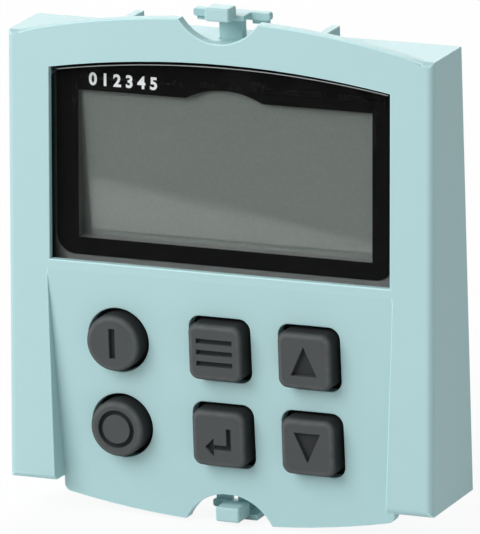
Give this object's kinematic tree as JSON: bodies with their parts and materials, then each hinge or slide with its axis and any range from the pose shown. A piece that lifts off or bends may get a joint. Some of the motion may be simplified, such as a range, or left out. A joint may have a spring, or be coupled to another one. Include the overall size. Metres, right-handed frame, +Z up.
{
  "type": "operator panel",
  "caption": "Flat clip-on operator panel with a display window, round and square rubber keys and snap latches at its top and bottom edges.",
  "frame": {"origin": "centre of the flat rear face, which seats on the drive's control unit", "axes": "+Y out of the rear face into the drive, +Z up, +X to the panel's right as seen from the front; the keys face -Y"},
  "size_m": [0.05, 0.0113, 0.0573],
  "materials": {
    "housing_plastic": "fine textured moulding",
    "screw_steel": "zinc plated",
    "window_acrylic": "glossy clear window",
    "black_tape": "matt",
    "black_print": "glossy black print",
    "grey_plastic": "matt dark grey",
    "display_film": "grey green film",
    "display_glass": "clear",
    "clear_acrylic": "clear",
    "white_film": "white",
    "lamp_plastic": "clear epoxy",
    "silicone_strip": "striped silicone",
    "board_laminate": "green solder mask",
    "carbon_print": "matt carbon",
    "key_rubber": "matt dark grey silicone",
    "chip_epoxy": "matt black epoxy",
    "crystal_can": "plain can",
    "ceramic_black": "glazed",
    "ceramic_tan": "ceramic",
    "socket_plastic": "matt black nylon",
    "contact_brass": "gold flashed"
  },
  "bodies": {
    "panel": {"front_housing": "housing_plastic", "rear_cover": "housing_plastic", "cover_screws": "screw_steel", "display_lens": "window_acrylic", "lens_tape": "black_tape", "display_mask": "black_print", "display_frame": "grey_plastic", "front_polariser": "display_film", "lcd_front_glass": "display_glass", "lcd_rear_glass": "display_glass", "rear_polariser": "display_film", "light_guide": "clear_acrylic", "reflector_film": "white_film", "backlight_leds": "lamp_plastic", "contact_strips": "silicone_strip", "circuit_board": "board_laminate", "keypad_contacts": "carbon_print", "keypad_mat": "key_rubber", "controller_chip": "chip_epoxy", "memory_chip": "chip_epoxy", "voltage_regulator": "chip_epoxy", "crystal": "crystal_can", "chip_resistors": "ceramic_black", "chip_capacitors": "ceramic_tan", "rear_socket": "socket_plastic", "socket_contacts": "contact_brass"},
    "key_on_body": {"key_on": "key_rubber", "key_on_pill": "carbon_print"},
    "key_off_body": {"key_off": "key_rubber", "key_off_pill": "carbon_print"},
    "key_function_body": {"key_function": "key_rubber", "key_function_pill": "carbon_print"},
    "key_parameter_body": {"key_parameter": "key_rubber", "key_parameter_pill": "carbon_print"},
    "key_up_body": {"key_up": "key_rubber", "key_up_pill": "carbon_print"},
    "key_down_body": {"key_down": "key_rubber", "key_down_pill": "carbon_print"},
    "latch_top_body": {"latch_top": "housing_plastic"},
    "latch_bottom_body": {"latch_bottom": "housing_plastic"}
  },
  "joints": [
    {"name": "key_on_press", "type": "slide", "parent": "panel", "child": "key_on_body", "axis": [0, 1, 0], "range_m": [0, 0.001], "stiffness_N_per_m": 800, "springref_m": -0.0004},
    {"name": "key_off_press", "type": "slide", "parent": "panel", "child": "key_off_body", "axis": [0, 1, 0], "range_m": [0, 0.001], "stiffness_N_per_m": 800, "springref_m": -0.0004},
    {"name": "key_function_press", "type": "slide", "parent": "panel", "child": "key_function_body", "axis": [0, 1, 0], "range_m": [0, 0.001], "stiffness_N_per_m": 800, "springref_m": -0.0004},
    {"name": "key_parameter_press", "type": "slide", "parent": "panel", "child": "key_parameter_body", "axis": [0, 1, 0], "range_m": [0, 0.001], "stiffness_N_per_m": 800, "springref_m": -0.0004},
    {"name": "key_up_press", "type": "slide", "parent": "panel", "child": "key_up_body", "axis": [0, 1, 0], "range_m": [0, 0.001], "stiffness_N_per_m": 800, "springref_m": -0.0004},
    {"name": "key_down_press", "type": "slide", "parent": "panel", "child": "key_down_body", "axis": [0, 1, 0], "range_m": [0, 0.001], "stiffness_N_per_m": 800, "springref_m": -0.0004},
    {"name": "latch_top_press", "type": "slide", "parent": "panel", "child": "latch_top_body", "axis": [0, 0, -1], "range_m": [0, 0.001], "stiffness_N_per_m": 4000, "springref_m": -0.0003},
    {"name": "latch_bottom_press", "type": "slide", "parent": "panel", "child": "latch_bottom_body", "axis": [0, 0, 1], "range_m": [0, 0.001], "stiffness_N_per_m": 4000, "springref_m": -0.0003}
  ]
}
